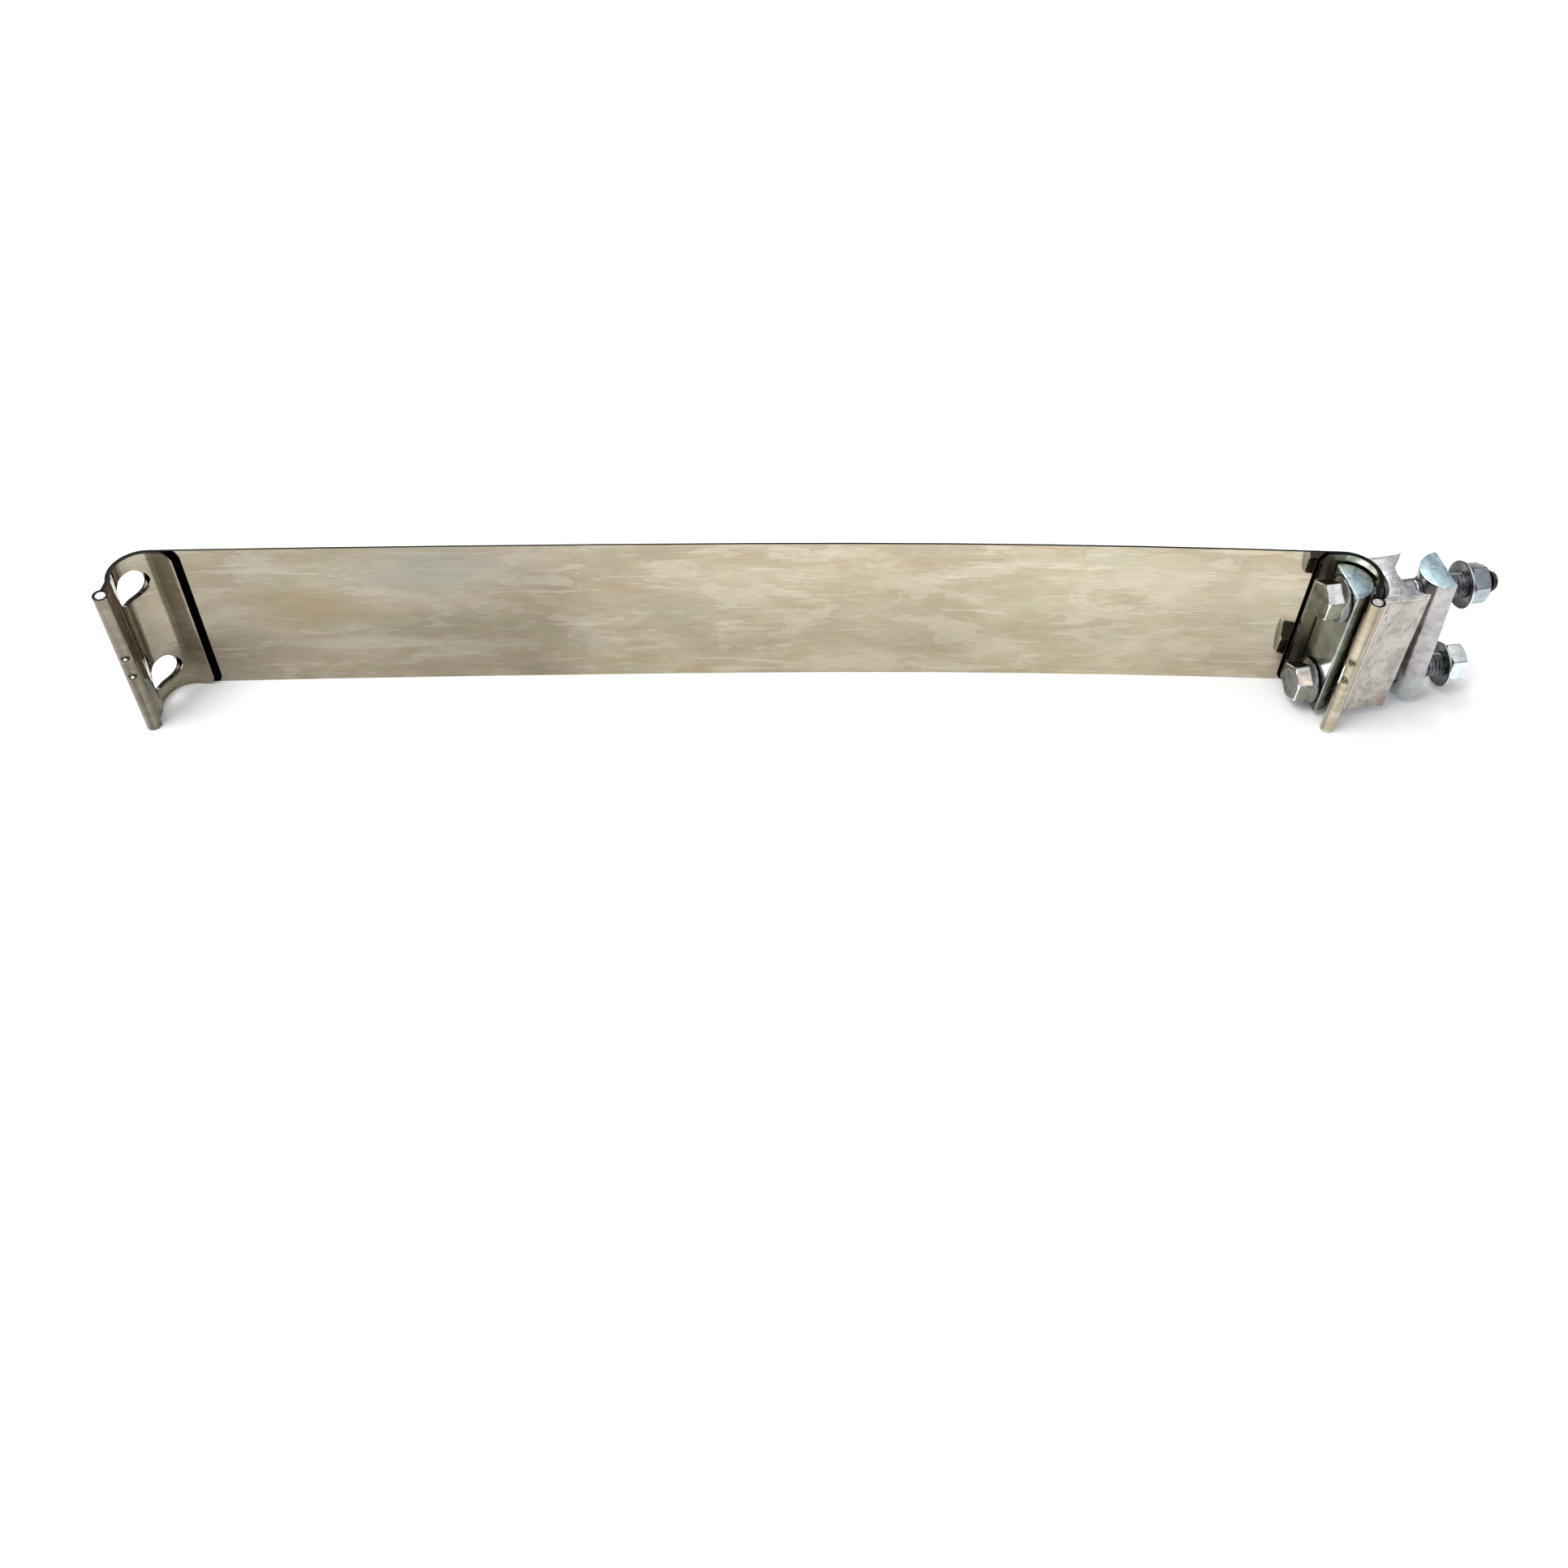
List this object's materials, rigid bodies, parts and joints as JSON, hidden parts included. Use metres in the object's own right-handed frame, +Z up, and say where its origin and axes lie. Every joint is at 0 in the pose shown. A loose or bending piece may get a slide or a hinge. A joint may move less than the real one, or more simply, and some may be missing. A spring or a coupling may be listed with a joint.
{
  "type": "band clamp",
  "caption": "Flat-supplied two-bolt pipe band clamp: stainless strip with a folded hook at each end, half-round bars, reaction block and hex bolts.",
  "frame": {"origin": "on the ground under the middle of the whole clamp as it stands on the strip's long edge", "axes": "+X along the strip to its bolted end, +Y to the pipe side of the strip, -Y to the hooks, +Z up across the strip's width"},
  "size_m": [0.5328, 0.0366, 0.07],
  "materials": {
    "band_steel": "bright rolled stainless strip with a warm tint and fine lengthwise grain",
    "rod_steel": "bright drawn rod with grainy sheared ends",
    "zinc_bar": "zinc plated steel, mottled",
    "zinc_fastener": "zinc plated steel, bright facets",
    "block_aluminium": "raw extruded aluminium, rough and mottled"
  },
  "bodies": {
    "band": {"clamp_band": "band_steel", "left_hem_rod": "rod_steel", "right_hem_rod": "rod_steel"},
    "hook_bar": {"hook_bar": "zinc_bar"},
    "block": {"reaction_block": "block_aluminium"},
    "nut_bar": {"nut_bar": "zinc_bar"},
    "upper_bolt": {"upper_bolt": "zinc_fastener"},
    "lower_bolt": {"lower_bolt": "zinc_fastener"},
    "upper_washer": {"upper_washer": "zinc_fastener"},
    "lower_washer": {"lower_washer": "zinc_fastener"},
    "upper_nut": {"upper_nut": "zinc_fastener"},
    "lower_nut": {"lower_nut": "zinc_fastener"}
  },
  "joints": [
    {"name": "bar_swing", "type": "hinge", "parent": "band", "child": "hook_bar", "pos_m": [0.20047, -0.00009, 0.035], "axis": [0, 0, 1], "range_deg": [-8, 20]},
    {"name": "upper_bolt_spin", "type": "hinge", "parent": "hook_bar", "child": "upper_bolt", "pos_m": [0.20047, -0.00009, 0.0575], "axis": [0.9875, 0.1576, 0], "continuous": true},
    {"name": "lower_bolt_spin", "type": "hinge", "parent": "hook_bar", "child": "lower_bolt", "pos_m": [0.20047, -0.00009, 0.0125], "axis": [0.9875, 0.1576, 0], "continuous": true},
    {"name": "block_slide", "type": "slide", "parent": "hook_bar", "child": "block", "axis": [0.9875, 0.1576, 0], "range_m": [-0.001, 0.002]},
    {"name": "nut_bar_slide", "type": "slide", "parent": "hook_bar", "child": "nut_bar", "axis": [0.9875, 0.1576, 0], "range_m": [-0.006, 0.002]},
    {"name": "upper_nut_travel", "type": "slide", "parent": "upper_bolt", "child": "upper_washer", "axis": [0.9875, 0.1576, 0], "range_m": [-0.0041, 0.0052]},
    {"name": "lower_nut_travel", "type": "slide", "parent": "lower_bolt", "child": "lower_washer", "axis": [0.9875, 0.1576, 0], "range_m": [-0.0072, 0]},
    {"name": "upper_nut_spin", "type": "hinge", "parent": "upper_washer", "child": "upper_nut", "pos_m": [0.25478, 0.00858, 0.0575], "axis": [0.9875, 0.1576, 0], "range_deg": [-929, 1179]},
    {"name": "lower_nut_spin", "type": "hinge", "parent": "lower_washer", "child": "lower_nut", "pos_m": [0.25972, 0.00937, 0.0125], "axis": [0.9875, 0.1576, 0], "range_deg": [-1632, 0]}
  ],
  "couplings": [
    {"joint": "upper_nut_travel", "follows": "upper_nut_spin", "m_per_rad": 0.00025266},
    {"joint": "lower_nut_travel", "follows": "lower_nut_spin", "m_per_rad": 0.00025266}
  ]
}
